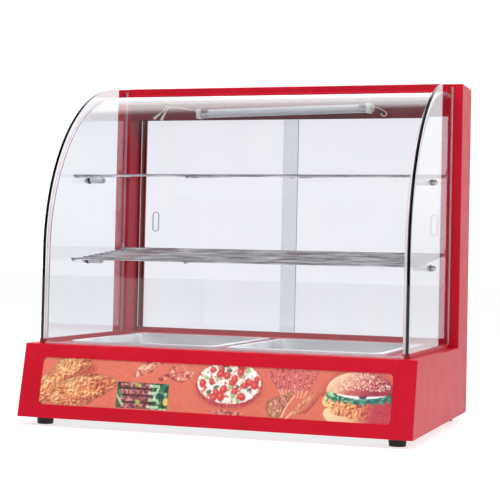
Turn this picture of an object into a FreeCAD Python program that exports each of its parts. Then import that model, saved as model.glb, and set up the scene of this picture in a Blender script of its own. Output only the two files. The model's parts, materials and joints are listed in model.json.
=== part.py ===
import FreeCAD, Part
import math
import os

import Sketcher

# Hot food display case: a heated two-pan base, a rear frame with sliding glass doors,
# flat side glasses, one bent front glass, two wire racks and a lamp.
# Millimetres. +X is the right side, -Y the customer's side, +Z up.
# The origin is the middle of the whole object on the table it stands on.

os.makedirs("parts", exist_ok=True)
doc = FreeCAD.newDocument("hot_food_display_case")
V = FreeCAD.Vector
SHEET = "Sizes"
sheet = doc.addObject("Spreadsheet::Sheet", SHEET)
sheet_rows = []
nodes = {}


# ---------------------------------------------------------------- sizes

class Size:
    """A number that remembers the spreadsheet formula it comes from."""

    def __init__(self, number, formula):
        self.number = float(number)
        self.formula = formula

    def __float__(self):
        return self.number

    def __add__(self, other):
        other = as_size(other)
        return Size(self.number + other.number, f"({self.formula} + {other.formula})")

    def __sub__(self, other):
        other = as_size(other)
        return Size(self.number - other.number, f"({self.formula} - {other.formula})")

    def __mul__(self, other):
        other = as_size(other)
        return Size(self.number * other.number, f"({self.formula} * {other.formula})")

    def __truediv__(self, other):
        other = as_size(other)
        return Size(self.number / other.number, f"({self.formula} / {other.formula})")

    def __radd__(self, other):
        return as_size(other) + self

    def __rsub__(self, other):
        return as_size(other) - self

    def __rmul__(self, other):
        return as_size(other) * self

    def __rtruediv__(self, other):
        return as_size(other) / self

    def __neg__(self):
        return Size(-self.number, f"(-{self.formula})")


def as_size(value):
    return value if isinstance(value, Size) else Size(value, f"({float(value)})")


def driving(alias, number):
    """Adds one driving dimension to the sheet and returns it as a Size."""
    row = len(sheet_rows) + 1
    sheet_rows.append(alias)
    sheet.set(f"A{row}", alias)
    sheet.set(f"B{row}", str(number))
    sheet.setAlias(f"B{row}", alias)
    return Size(number, f"{SHEET}.{alias}")


def root(size):
    return Size(math.sqrt(size.number), f"sqrt({size.formula})")


def sine(angle):
    return Size(math.sin(math.radians(angle.number)), f"sin({angle.formula} * 1deg)")


def cosine(angle):
    return Size(math.cos(math.radians(angle.number)), f"cos({angle.formula} * 1deg)")


case_width = driving("case_width", 660)
base_depth = driving("base_depth", 468)
rear_reach = driving("rear_reach", 22)
foot_height = driving("foot_height", 14)
base_height = driving("base_height", 119)
front_setback = driving("front_setback", 27)
case_height = driving("case_height", 596)
frame_depth = driving("frame_depth", 90)
post_width = driving("post_width", 30)
gauge = driving("sheet_gauge", 1.5)
front_return = driving("front_return", 28)
window_half = driving("window_half", 294)
window_low = driving("window_low", 21.5)
window_high = driving("window_high", 97.5)
beam_height = driving("beam_height", 36)
beam_face = driving("beam_face_height", 57.5)
rail_height = driving("rail_height", 4)
lip_height = driving("lip_height", 17)
lip_reach = driving("lip_reach", 6)
glass_gauge = driving("glass_gauge", 5)
glass_inset = driving("glass_inset", 18)
bend_radius = driving("bend_radius", 300)
bend_y = driving("bend_centre_y", 100)
front_glass_inset = driving("front_glass_inset", 4)
front_glass_drop = driving("front_glass_drop", 14.5)
front_outer = driving("front_glass_radius", 290)
bead_width = driving("bead_width", 5)
door_gauge = driving("door_gauge", 4)
door_width = driving("door_width", 314)
pan_width = driving("pan_width", 260)
pan_length = driving("pan_length", 310)
pan_depth = driving("pan_depth", 52)
pan_gap = driving("pan_gap", 16)
pan_centre_y = driving("pan_centre_y", -27)
upper_tilt = driving("upper_tilt", 4)
lower_tilt = driving("lower_tilt", 5.2)
rack_front = driving("rack_front", -112)
rack_length = driving("rack_length", 239)
upper_stud = driving("upper_stud", 413.5)
lower_stud = driving("lower_stud", 272)
stud_y = driving("stud_y", -30)
lamp_length = driving("lamp_length", 327)
lamp_x = driving("lamp_x", 10.5)
lamp_height = driving("lamp_height", 549.5)
lamp_skew = driving("lamp_skew", 1.2)
foot_radius = driving("foot_radius", 14.5)
doc.recompute()

half = case_width / 2
y_front = -(base_depth + rear_reach) / 2
y_rear = y_front + base_depth
y_frame = y_rear - frame_depth
z_base = foot_height
z_deck = foot_height + base_height
z_top = case_height
z_rail = z_deck + rail_height
z_beam = z_top - beam_height
post_inner = half - post_width
glass_outer = half - glass_inset
glass_inner = glass_outer - glass_gauge
bend_z = z_top - 6 - bend_radius


def front_face_y(height):
    """The sloped front face, at a height above the bottom edge of the base."""
    return y_front + height * front_setback / base_height


slope_stretch = root(1 + front_setback * front_setback / base_height / base_height)


# ---------------------------------------------------------------- building helpers

def bind(obj, prop, size):
    obj.setExpression(prop, as_size(size).formula)


def node(obj, label):
    obj.Label = label
    nodes[label] = obj
    return obj


def place(obj, x=0, y=0, z=0, axis=(0, 0, 1), angle=0):
    turn = FreeCAD.Rotation(V(*axis), float(angle))
    obj.Placement = FreeCAD.Placement(V(float(x), float(y), float(z)), turn)
    for letter, value in zip("xyz", (x, y, z)):
        bind(obj, f"Placement.Base.{letter}", value)
    if isinstance(angle, Size):
        bind(obj, "Placement.Rotation.Angle", angle)
    return obj


def box(xs, ys, zs):
    obj = doc.addObject("Part::Box", "block")
    for prop, (low, high) in zip(("Length", "Width", "Height"), (xs, ys, zs)):
        bind(obj, prop, as_size(high) - low)
    return place(obj, xs[0], ys[0], zs[0])


AXES = {"x": ((0, 1, 0), 90), "y": ((1, 0, 0), -90), "z": ((0, 0, 1), 0)}


def rod(radius, length, start, along="z"):
    """A round bar of a given length that starts at a point and runs along an axis."""
    obj = doc.addObject("Part::Cylinder", "rod")
    bind(obj, "Radius", radius)
    bind(obj, "Height", length)
    axis, angle = AXES[along]
    return place(obj, *start, axis=axis, angle=angle)


def ball(radius, centre):
    obj = doc.addObject("Part::Sphere", "ball")
    bind(obj, "Radius", radius)
    return place(obj, *centre)


def cut(base, tools):
    obj = doc.addObject("Part::Cut", "cut")
    obj.Base = base
    obj.Tool = tools[0] if len(tools) == 1 else fuse(tools)
    return obj


def fuse(parts):
    obj = doc.addObject("Part::MultiFuse", "fuse")
    obj.Shapes = parts
    return obj


def group(parts):
    """Separate solids that share one node, such as identical fasteners."""
    obj = doc.addObject("Part::Compound", "group")
    obj.Links = parts
    return obj


def new_body(label):
    obj = doc.addObject("PartDesign::Body", label)
    obj.Label = label
    return obj


def sketch(body, role, offset=0):
    """A sketch on one of the body's own origin planes, moved along its normal."""
    obj = body.newObject("Sketcher::SketchObject", body.Name + "_sketch")
    plane = next(item for item in body.Origin.OriginFeatures if item.Role == role)
    obj.AttachmentSupport = [(plane, "")]
    obj.MapMode = "FlatFace"
    bind(obj, "AttachmentOffset.Base.z", offset)
    return obj


def pin_point(obj, geometry, position, across, up):
    """Fixes a sketch point at two lengths from the sketch's origin."""
    for kind, size in (("DistanceX", across), ("DistanceY", up)):
        size = as_size(size)
        index = obj.addConstraint(
            Sketcher.Constraint(kind, -1, 1, geometry, position, size.number))
        bind(obj, f"Constraints[{index}]", size)


def draw_outline(obj, corners):
    """A closed outline. A corner is (across, up), or (across, up, centre) when the edge
    that leaves it is an arc about that centre."""
    first = obj.GeometryCount
    count = len(corners)
    starts = []
    for i, corner in enumerate(corners):
        following = corners[(i + 1) % count]
        begin = V(float(corner[0]), float(corner[1]), 0)
        end = V(float(following[0]), float(following[1]), 0)
        if len(corner) == 2:
            obj.addGeometry(Part.LineSegment(begin, end))
            starts.append(1)
            continue
        centre = V(float(corner[2][0]), float(corner[2][1]), 0)
        a, b = begin - centre, end - centre
        anticlockwise = a.x * b.y - a.y * b.x > 0
        low, high = (a, b) if anticlockwise else (b, a)
        circle = Part.Circle(centre, V(0, 0, 1), a.Length)
        angles = [math.atan2(side.y, side.x) for side in (low, high)]
        obj.addGeometry(Part.ArcOfCircle(circle, *angles))
        starts.append(1 if anticlockwise else 2)
    for i in range(count):
        following = (i + 1) % count
        obj.addConstraint(Sketcher.Constraint(
            "Coincident", first + i, 3 - starts[i], first + following, starts[following]))
    for i, corner in enumerate(corners):
        pin_point(obj, first + i, starts[i], corner[0], corner[1])
        if len(corner) == 3:
            following = corners[(i + 1) % count]
            rise = abs(float(following[1]) - float(corner[1]))
            run = abs(float(following[0]) - float(corner[0]))
            kind, size = ("DistanceX", corner[2][0]) if rise > run / 2 else (
                "DistanceY", corner[2][1])
            size = as_size(size)
            index = obj.addConstraint(
                Sketcher.Constraint(kind, -1, 1, first + i, 3, size.number))
            bind(obj, f"Constraints[{index}]", size)
    return obj


def draw_circle(obj, across, up, radius):
    radius = as_size(radius)
    centre = V(float(across), float(up), 0)
    geometry = obj.addGeometry(Part.Circle(centre, V(0, 0, 1), radius.number))
    pin_point(obj, geometry, 3, across, up)
    index = obj.addConstraint(Sketcher.Constraint("Radius", geometry, radius.number))
    bind(obj, f"Constraints[{index}]", radius)
    return obj


def rounded(x0, x1, y0, y1, r):
    """Corners of a rectangle with round corners."""
    return [
        (x0 + r, y0), (x1 - r, y0, (x1 - r, y0 + r)),
        (x1, y0 + r), (x1, y1 - r, (x1 - r, y1 - r)),
        (x1 - r, y1), (x0 + r, y1, (x0 + r, y1 - r)),
        (x0, y1 - r), (x0, y0 + r, (x0 + r, y0 + r)),
    ]


def pad(body, profile, length, both_ways=False, reverse=False):
    feature = body.newObject("PartDesign::Pad", body.Name + "_pad")
    return finish_feature(feature, profile, length, both_ways, reverse)


def pocket(body, profile, length, both_ways=False, reverse=False):
    doc.recompute()
    before = body.Shape.Volume
    feature = body.newObject("PartDesign::Pocket", body.Name + "_pocket")
    finish_feature(feature, profile, length, both_ways, reverse)
    doc.recompute()
    if body.Shape.Volume > before - 1e-3:
        raise RuntimeError(f"a pocket in {body.Label} cuts nothing")
    return feature


def finish_feature(feature, profile, length, both_ways, reverse):
    feature.Profile = profile
    feature.SideType = "Symmetric" if both_ways else "One side"
    feature.Reversed = reverse
    bind(feature, "Length", length)
    return feature


def round_edges(body, radius, chosen):
    """A fillet on the edges that the test picks by their middle point."""
    doc.recompute()
    tip = body.Tip
    names = []
    for i, edge in enumerate(tip.Shape.Edges, 1):
        middle = edge.valueAt((edge.FirstParameter + edge.LastParameter) / 2)
        if chosen(middle, edge):
            names.append(f"Edge{i}")
    feature = body.newObject("PartDesign::Fillet", body.Name + "_fillet")
    feature.Base = (tip, names)
    bind(feature, "Radius", radius)
    return feature


def extruded(label, role, corners, start, length, both_ways=False):
    """One body: an outline on an origin plane, padded along the plane's normal."""
    body = new_body(label)
    profile = draw_outline(sketch(body, role, start), corners)
    pad(body, profile, length, both_ways)
    return body


def mirrored(source):
    """The same piece on the other side of the case's middle plane."""
    obj = doc.addObject("Part::Mirroring", "mirror")
    obj.Source = source
    obj.Normal = V(1, 0, 0)
    return obj


def bent_wire(points, radius):
    """A round wire along straight runs joined by tangent arcs."""
    points = [V(*[float(value) for value in point]) for point in points]
    edges = []
    position = points[0]
    for before, corner, after in zip(points, points[1:], points[2:]):
        into, out = corner - before, after - corner
        shorter = min(into.Length, out.Length)
        into.normalize()
        out.normalize()
        turn = into.getAngle(out)
        reach = 0.45 * shorter
        bend = reach / math.tan(turn / 2)
        enter, leave = corner - into * reach, corner + out * reach
        inward = out - into
        inward.normalize()
        centre = corner + inward * math.hypot(bend, reach)
        middle = centre - inward * bend
        edges.append(Part.LineSegment(position, enter).toShape())
        edges.append(Part.Arc(enter, middle, leave).toShape())
        position = leave
        bend_radii.append(bend)
    edges.append(Part.LineSegment(position, points[-1]).toShape())
    path = Part.Wire(edges)
    direction = points[1] - points[0]
    section = Part.Wire([Part.makeCircle(float(radius), points[0], direction)])
    tube = path.makePipeShell([section], True, False)
    ideal = math.pi * float(radius) ** 2 * path.Length
    if abs(tube.Volume / ideal - 1) > 0.01:
        raise RuntimeError("a wire's volume isn't its section times its length")
    return tube


bend_radii = []


def wire_feature(routes, radius):
    """One object that holds a round wire for each route."""
    obj = doc.addObject("Part::Feature", "wires")
    tubes = [bent_wire(route, radius) for route in routes]
    obj.Shape = tubes[0] if len(tubes) == 1 else Part.makeCompound(tubes)
    obj.Placement = FreeCAD.Placement()
    return obj


# ---------------------------------------------------------------- base cabinet

SCREW_RADIUS = 1.8
SCREW_HOLE = 2.0
REAR_SCREW_X = half - 19
rear_screw_heights = [z_base + height for height in (16, 60, 98)]
seam = 0.4


def base_side(label, side):
    """Side panel with a return onto the sloped front, a bottom flange and a rear flange."""
    outside = half * side if side < 0 else half - front_return
    body = new_body(label)
    profile = sketch(body, "YZ_Plane", outside)
    draw_outline(profile, [(y_front, z_base), (y_rear, z_base), (y_rear, z_deck),
                           (y_front + front_setback, z_deck)])
    pad(body, profile, front_return)
    inside = -(half - front_return) if side < 0 else half - gauge
    skin = gauge * slope_stretch
    hollow = sketch(body, "YZ_Plane", inside)
    draw_outline(hollow, [
        (front_face_y(gauge) + skin, z_base + gauge), (y_rear - gauge, z_base + gauge),
        (y_rear - gauge, z_deck + 1), (front_face_y(base_height + 1) + skin, z_deck + 1)])
    pocket(body, hollow, front_return - gauge)
    holes = sketch(body, "XZ_Plane", -(y_rear - 2 * gauge))
    for height in rear_screw_heights:
        draw_circle(holes, REAR_SCREW_X * side, height, SCREW_HOLE)
    pocket(body, holes, 3 * gauge)
    corner_y = float(y_front + front_setback / 2)

    def outer_corner(middle, edge):
        return (abs(abs(middle.x) - half.number) < 0.01 and abs(middle.y - corner_y) < 0.5
                and edge.Length > base_height.number)

    round_edges(body, 2.0, outer_corner)
    return node(body, label)


def base_front_panel():
    """Sloped front sheet with a window, a bottom flange and a ledge for the front glass."""
    skin = gauge * slope_stretch
    ledge = y_front + front_setback + 28
    body = extruded("base_front_panel", "YZ_Plane", [
        (y_front, z_base), (y_front + 20, z_base), (y_front + 20, z_base + gauge),
        (front_face_y(gauge) + skin, z_base + gauge),
        (front_face_y(base_height - gauge) + skin, z_deck - gauge),
        (ledge, z_deck - gauge), (ledge, z_deck), (y_front + front_setback, z_deck)],
        0, 2 * (half - front_return) - seam, both_ways=True)
    window = sketch(body, "XZ_Plane")
    draw_outline(window, rounded(-window_half, window_half, z_base + window_low,
                                 z_base + window_high, 7))
    pocket(body, window, case_width, both_ways=True)
    top_y = float(y_front + front_setback)

    def top_bend(middle, edge):
        return (abs(middle.y - top_y) < 0.01 and abs(middle.z - z_deck.number) < 0.01
                and edge.Length > 300)

    round_edges(body, 2.2, top_bend)
    return node(body, "base_front_panel")


def sloped_strip(label, low, high, behind, thickness, length):
    """A flat strip that lies parallel to the sloped front, between two heights."""
    low_y = front_face_y(low) + behind * slope_stretch
    high_y = front_face_y(high) + behind * slope_stretch
    deep = thickness * slope_stretch
    return extruded(label, "YZ_Plane", [
        (low_y, z_base + low), (low_y + deep, z_base + low),
        (high_y + deep, z_base + high), (high_y, z_base + high)],
        0, length, both_ways=True)


PRINT_GAUGE = 2.5
RAIL_GAUGE = 1.2
RAIL_WIDTH = 10
print_low = 10
print_high = base_height - 11


def graphic():
    length = 2 * (half - front_return) - 6
    node(sloped_strip("graphic_panel", print_low, print_high, gauge, PRINT_GAUGE, length),
         "graphic_panel")
    behind = gauge + PRINT_GAUGE
    low_rail = sloped_strip("low_rail", print_low, print_low + RAIL_WIDTH, behind,
                            RAIL_GAUGE, length)
    high_rail = sloped_strip("high_rail", print_high - RAIL_WIDTH, print_high, behind,
                             RAIL_GAUGE, length)
    node(group([low_rail, high_rail]), "graphic_rails")


pan_x = (pan_gap + pan_width) / 2
OPENING_MARGIN = 7
DECK_FLANGE = 14
deck_front = y_front + front_setback + 28
deck_rear = y_rear - gauge


def top_deck():
    """Deck sheet with two pan openings, side wings that reach the front corners, and
    flanges turned down at the sides and rear."""
    body = new_body("top_deck")
    side = half - gauge
    wing = y_front + front_setback + gauge * slope_stretch + 0.2
    wing_x = half - front_return + 0.2
    outline = sketch(body, "XY_Plane", z_deck - gauge - DECK_FLANGE)
    draw_outline(outline, [
        (-side, wing), (-wing_x, wing), (-wing_x, deck_front), (wing_x, deck_front),
        (wing_x, wing), (side, wing), (side, deck_rear), (-side, deck_rear)])
    pad(body, outline, gauge + DECK_FLANGE)
    inner = side - gauge
    hollow = sketch(body, "XY_Plane", z_deck - gauge)
    draw_outline(hollow, [(-inner, wing - 1), (inner, wing - 1),
                          (inner, deck_rear - gauge), (-inner, deck_rear - gauge)])
    pocket(body, hollow, DECK_FLANGE + 1)
    openings = sketch(body, "XY_Plane", z_deck)
    reach_x = pan_width / 2 - OPENING_MARGIN
    reach_y = pan_length / 2 - OPENING_MARGIN
    for centre in (-pan_x, pan_x):
        draw_outline(openings, rounded(centre - reach_x, centre + reach_x,
                                       pan_centre_y - reach_y, pan_centre_y + reach_y, 24))
    pocket(body, openings, 3 * gauge)
    return node(body, "top_deck")


tray_x = pan_x + pan_width / 2 + 4
tray_front = pan_centre_y - pan_length / 2 - 3
tray_rear = pan_centre_y + pan_length / 2 + 3
tray_floor = z_base + 46
TRAY_GAUGE = 1.2
element_z = tray_floor + 10
ELEMENT_RADIUS = 4
ELEMENT_SPREAD = 70
element_holes = [pan_x * side + ELEMENT_SPREAD * leg for side in (-1, 1) for leg in (-1, 1)]
CAPILLARY_X = -8


def heat_tray():
    """Open tray under the deck that holds the heat around the pans."""
    shell = box((-tray_x, tray_x), (tray_front, tray_rear), (tray_floor, z_deck - gauge))
    inside = box((-tray_x + TRAY_GAUGE, tray_x - TRAY_GAUGE),
                 (tray_front + TRAY_GAUGE, tray_rear - TRAY_GAUGE),
                 (tray_floor + TRAY_GAUGE, z_deck))
    holes = [rod(ELEMENT_RADIUS + 1, 8, (x, tray_rear - 4, element_z), "y")
             for x in element_holes]
    holes.append(rod(2, 8, (CAPILLARY_X, tray_rear - 4, element_z), "y"))
    node(cut(shell, [inside] + holes), "heat_tray")


def heating_elements():
    """A U-shaped tubular element under each pan, with threaded ends behind the tray."""
    bend_at = pan_centre_y - 62
    loops = []
    for side in (-1, 1):
        middle = pan_x * side
        bend = doc.addObject("Part::Torus", "element_bend")
        bind(bend, "Radius1", ELEMENT_SPREAD)
        bind(bend, "Radius2", ELEMENT_RADIUS)
        bend.Angle3 = 180
        place(bend, middle, bend_at, element_z, angle=180)
        pieces = [bend]
        for leg in (-1, 1):
            x = middle + ELEMENT_SPREAD * leg
            pieces.append(rod(ELEMENT_RADIUS, tray_rear + 14 - bend_at,
                              (x, bend_at, element_z), "y"))
            pieces.append(rod(2, 10, (x, tray_rear + 14, element_z), "y"))
        loops.append(fuse(pieces))
    node(group(loops), "heating_elements")


def pan(label, side):
    """Stainless pan: rolled rim on the deck, tapered basin with round corners."""
    centre = pan_x * side
    wall = 1.0
    rim_low = z_deck + 0.3
    rim_high = z_deck + 5
    floor = rim_high - pan_depth
    body = new_body(label)

    def frame(z, inset, radius, target=None):
        target = target or sketch(body, "XY_Plane", z)
        across = pan_width / 2 - inset
        along = pan_length / 2 - inset
        return draw_outline(target, rounded(centre - across, centre + across,
                                            pan_centre_y - along, pan_centre_y + along,
                                            radius))

    pad(body, frame(rim_low, 0, 16), rim_high - rim_low)
    under_rim = frame(rim_low, wall, 15)
    frame(None, 11, 23, under_rim)
    pocket(body, under_rim, rim_high - wall - rim_low, reverse=True)
    basin = body.newObject("PartDesign::AdditiveLoft", label + "_basin")
    basin.Profile = frame(rim_high - wall / 2, 11, 23)
    basin.Sections = [frame(floor, 24, 28)]
    hollow = body.newObject("PartDesign::SubtractiveLoft", label + "_hollow")
    hollow.Profile = frame(rim_high + 2, 11.5, 22)
    hollow.Sections = [frame(floor + wall, 25, 27)]
    rim_z = float(rim_high)

    def rim_edge(middle, edge):
        outer = (abs(middle.x - centre.number) > pan_width.number / 2 - 6 or
                 abs(middle.y - pan_centre_y.number) > pan_length.number / 2 - 6)
        return abs(middle.z - rim_z) < 0.01 and outer

    round_edges(body, 0.8, rim_edge)
    return node(body, label)


def bottom_plate():
    """Floor of the base with a row of cooling slots at each side."""
    body = new_body("bottom_plate")
    reach = half - 3
    outline = sketch(body, "XY_Plane", z_base + gauge)
    draw_outline(outline, [(-reach, y_front + 6), (reach, y_front + 6),
                           (reach, deck_rear - 1), (-reach, deck_rear - 1)])
    pad(body, outline, gauge)
    slot = sketch(body, "XY_Plane", z_base + 2 * gauge)
    for start in (-240, 40):
        draw_outline(slot, rounded(as_size(start), as_size(start + 60), as_size(150),
                                   as_size(154), 1.9))
    doc.recompute()
    first = pocket(body, slot, 3 * gauge)
    pattern = body.newObject("PartDesign::LinearPattern", "slot_rows")
    pattern.Originals = [first]
    pattern.Direction = (slot, ["V_Axis"])
    pattern.Length = 40
    pattern.Occurrences = 5
    body.Tip = pattern
    return node(body, "bottom_plate")


# ---------------------------------------------------------------- rear controls

panel_back = y_rear + gauge
CONTROL_Z = 59
control_z = z_base + CONTROL_Z
KNOB_X = -183
SWITCH_X = {"power": -96, "light": -50}
PILOT_X = -16
GLAND_X = 240
GLAND_Z = 34
SWITCH_WIDE = 21
SWITCH_TALL = 27
NECK_RADIUS = 4.5
PIVOT_RADIUS = 2.0


def rear_panel():
    """Cover at the operator's side with cut-outs for the controls and cooling slots."""
    body = new_body("rear_panel")
    reach = half - 12
    outline = sketch(body, "XZ_Plane", -y_rear)
    draw_outline(outline, rounded(-reach, reach, z_base + 4, z_deck - 3, 4))
    pad(body, outline, gauge, reverse=True)
    holes = sketch(body, "XZ_Plane", -y_rear)
    draw_circle(holes, KNOB_X, control_z, NECK_RADIUS + 0.3)
    draw_circle(holes, PILOT_X, control_z, 6.2)
    draw_circle(holes, GLAND_X, z_base + GLAND_Z, 8.2)
    for x in SWITCH_X.values():
        wide = SWITCH_WIDE / 2 + 0.3
        tall = SWITCH_TALL / 2 + 0.3
        draw_outline(holes, [(x - wide, control_z - tall), (x + wide, control_z - tall),
                             (x + wide, control_z + tall), (x - wide, control_z + tall)])
    for side in (-1, 1):
        for height in rear_screw_heights:
            draw_circle(holes, REAR_SCREW_X * side, height, SCREW_HOLE)
    pocket(body, holes, 3 * gauge, both_ways=True)
    slot = sketch(body, "XZ_Plane", -y_rear)
    draw_outline(slot, rounded(as_size(60), as_size(150), z_base + 30, z_base + 34, 1.9))
    first = pocket(body, slot, 3 * gauge, both_ways=True)
    pattern = body.newObject("PartDesign::LinearPattern", "vent_rows")
    pattern.Originals = [first]
    pattern.Direction = (slot, ["V_Axis"])
    pattern.Length = 54
    pattern.Occurrences = 7
    body.Tip = pattern
    return node(body, "rear_panel")


SHAFT_RADIUS = 3.0
SHAFT_FIT = 3.05
knob_tip = -y_front


def thermostat():
    inner = y_rear - 34
    housing = box((KNOB_X - 22, KNOB_X + 22), (inner, y_rear), (control_z - 24, control_z + 24))
    neck = rod(NECK_RADIUS, gauge + 2, (KNOB_X, y_rear, control_z), "y")
    bore = rod(SHAFT_FIT, 16, (KNOB_X, y_rear - 12, control_z), "y")
    node(cut(fuse([housing, neck]), [bore]), "thermostat_body")
    shaft_length = knob_tip - 5 - (y_rear - 11)
    node(rod(SHAFT_RADIUS, shaft_length, (KNOB_X, y_rear - 11, control_z), "y"),
         "thermostat_shaft")
    disc = rod(27, 0.8, (KNOB_X, panel_back, control_z), "y")
    hole = rod(NECK_RADIUS + 0.5, 4, (KNOB_X, panel_back - 1, control_z), "y")
    node(cut(disc, [hole]), "dial_plate")
    body = new_body("thermostat_knob")
    knob_base = panel_back + 2.5
    skirt = draw_circle(sketch(body, "XZ_Plane", -knob_base), KNOB_X, control_z, 19)
    pad(body, skirt, 3, reverse=True)
    grip = draw_circle(sketch(body, "XZ_Plane", -(knob_base + 3)), KNOB_X, control_z, 15.5)
    pad(body, grip, knob_tip - knob_base - 3, reverse=True)
    bore = draw_circle(sketch(body, "XZ_Plane", -knob_base), KNOB_X, control_z, SHAFT_RADIUS)
    pocket(body, bore, knob_tip - knob_base - 5)
    pointer = sketch(body, "XZ_Plane", -knob_tip)
    draw_outline(pointer, [(as_size(KNOB_X - 0.8), control_z + 5), (as_size(KNOB_X + 0.8), control_z + 5),
                           (as_size(KNOB_X + 0.8), control_z + 15), (as_size(KNOB_X - 0.8), control_z + 15)])
    pocket(body, pointer, 0.8, reverse=True)
    node(body, "thermostat_knob")
    flutes = 12
    scallops = []
    for i in range(flutes):
        turn = 2 * math.pi * (i + 0.5) / flutes
        scallops.append(rod(3, 30, (KNOB_X + 17.2 * math.cos(turn), knob_base + 3.6,
                                    control_z + 17.2 * math.sin(turn)), "y"))
    node(cut(body, scallops), "thermostat_knob")
    body.Label = "knob_blank"
    nodes["thermostat_knob"].Label = "thermostat_knob"


def bulb_and_capillary():
    """Sensing bulb in the tray and the capillary that runs back to the thermostat."""
    z = float(element_z)
    rear = float(tray_rear)
    route = [(KNOB_X + 22, y_rear - 20, control_z), (KNOB_X + 40, y_rear - 20, control_z),
             (KNOB_X + 62, y_rear - 34, control_z - 2), (KNOB_X + 100, y_rear - 50, z + 4),
             (CAPILLARY_X - 30, rear + 26, z), (CAPILLARY_X, rear + 12, z),
             (CAPILLARY_X, rear - 40, z)]
    tail = wire_feature([route], 1.0)
    bulb = rod(3.2, 70, (CAPILLARY_X, rear - 110, element_z), "y")
    node(fuse([tail, bulb]), "thermostat_bulb")


def switch(name):
    x = SWITCH_X[name]
    wide, tall = SWITCH_WIDE / 2, SWITCH_TALL / 2
    housing = box((x - wide, x + wide), (y_rear - 27, panel_back),
                  (control_z - tall, control_z + tall))
    bezel = box((x - wide - 2, x + wide + 2), (panel_back, panel_back + 2),
                (control_z - tall - 3, control_z + tall + 3))
    cavity = box((x - 9, x + 9), (y_rear - 8, panel_back + 4),
                 (control_z - 12, control_z + 12))
    pivot_bore = rod(PIVOT_RADIUS + 0.06, 20.4, (x - 10.2, y_rear, control_z), "x")
    node(cut(fuse([housing, bezel]), [cavity, pivot_bore]), f"{name}_switch")
    body = new_body(f"{name}_rocker_blank")
    profile = sketch(body, "YZ_Plane", 0)
    draw_outline(profile, [(as_size(-3), as_size(-9)), (as_size(5), as_size(-10.6)),
                           (as_size(7), as_size(-10.6)), (as_size(3.6), as_size(0)),
                           (as_size(7), as_size(10.6)), (as_size(5), as_size(10.6)),
                           (as_size(-3), as_size(9))])
    pad(body, profile, 17, both_ways=True)
    place(body, x, y_rear, control_z, axis=(1, 0, 0), angle=-7)
    pivot = rod(PIVOT_RADIUS, 19.6, (x - 9.8, y_rear, control_z), "x")
    node(fuse([body, pivot]), f"{name}_rocker")


def pilot_lamp():
    stem = rod(6, 24, (PILOT_X, y_rear - 20, control_z), "y")
    bezel = rod(8, 2.5, (PILOT_X, panel_back, control_z), "y")
    lens = ball(6, (PILOT_X, panel_back + 2, control_z))
    node(fuse([stem, bezel, lens]), "pilot_lamp")


GLAND_BORE = 4.2


def cable_gland():
    """Hex gland in the rear panel, with a lock nut inside and an empty cord bore."""
    z = z_base + GLAND_Z
    body = new_body("gland_hex")
    hexagon = [(GLAND_X + 12 * math.cos(math.radians(60 * i)),
                z + 12 * math.sin(math.radians(60 * i))) for i in range(6)]
    outer = draw_outline(sketch(body, "XZ_Plane", -panel_back), hexagon)
    pad(body, outer, 5, reverse=True)
    locknut = new_body("gland_locknut")
    inner = draw_outline(sketch(locknut, "XZ_Plane", -(y_rear - 5)), hexagon)
    pad(locknut, inner, 5, reverse=True)
    thread = rod(8, 26, (GLAND_X, y_rear - 14, z), "y")
    dome = doc.addObject("Part::Cone", "gland_dome")
    bind(dome, "Radius1", 10)
    bind(dome, "Radius2", 7.5)
    bind(dome, "Height", 9)
    place(dome, GLAND_X, panel_back + 5, z, axis=(1, 0, 0), angle=-90)
    bore = rod(GLAND_BORE, 60, (GLAND_X, y_rear - 30, z), "y")
    node(cut(fuse([body, locknut, thread, dome]), [bore]), "cable_gland")


BLOCK_X = 196
block_y = y_rear - 52


def terminal_block():
    """Three-way ceramic block on the bottom plate, near the gland."""
    floor = z_base + 2 * gauge
    block = box((BLOCK_X, BLOCK_X + 42), (block_y, block_y + 24), (floor, floor + 18))
    holes = []
    for way in range(3):
        x = BLOCK_X + 8 + 13 * way
        holes.append(rod(2.6, 30, (x, block_y - 3, floor + 8), "y"))
        for row in (6, 18):
            holes.append(rod(2, 14, (x, block_y + row, floor + 8), "z"))
    node(cut(block, holes), "terminal_block")


def supply_leads():
    """Insulated leads from the terminal block to the switches and a heating element."""
    z = float(z_base) + 11
    y = float(block_y) - 1
    block = [BLOCK_X + 8 + 13 * way for way in range(3)]
    rear_of_switch = float(y_rear) - 28
    routes = [
        [(block[0], y, z), (block[0], y - 14, z), (block[0] - 30, y - 26, z + 6),
         (60, y - 22, z + 10), (-20, y - 16, z + 30), (SWITCH_X["light"], y + 4, control_z),
         (SWITCH_X["light"], rear_of_switch, control_z)],
        [(block[1], y, z), (block[1], y - 10, z + 2), (block[1] - 24, y - 16, z + 14),
         (120, y - 12, z + 30), (20, y - 8, z + 52), (SWITCH_X["power"] + 30, y + 2, z + 60),
         (SWITCH_X["power"], y + 6, control_z + 5),
         (SWITCH_X["power"], rear_of_switch, control_z + 5)],
    ]
    node(wire_feature(routes, 1.4), "supply_leads")


# ---------------------------------------------------------------- rear frame and doors

TRACK_WALL = 1.2
track_front = y_rear - 43
DOOR_PITCH = 13.4
TRACK_DEPTH = 2 * DOOR_PITCH + TRACK_WALL
door_y = {"left": track_front + 5.3, "right": track_front + 5.3 + DOOR_PITCH}
DOOR_CLEAR = 1.0
door_low = z_rail + TRACK_WALL + DOOR_CLEAR
door_high = z_beam - 5


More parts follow.
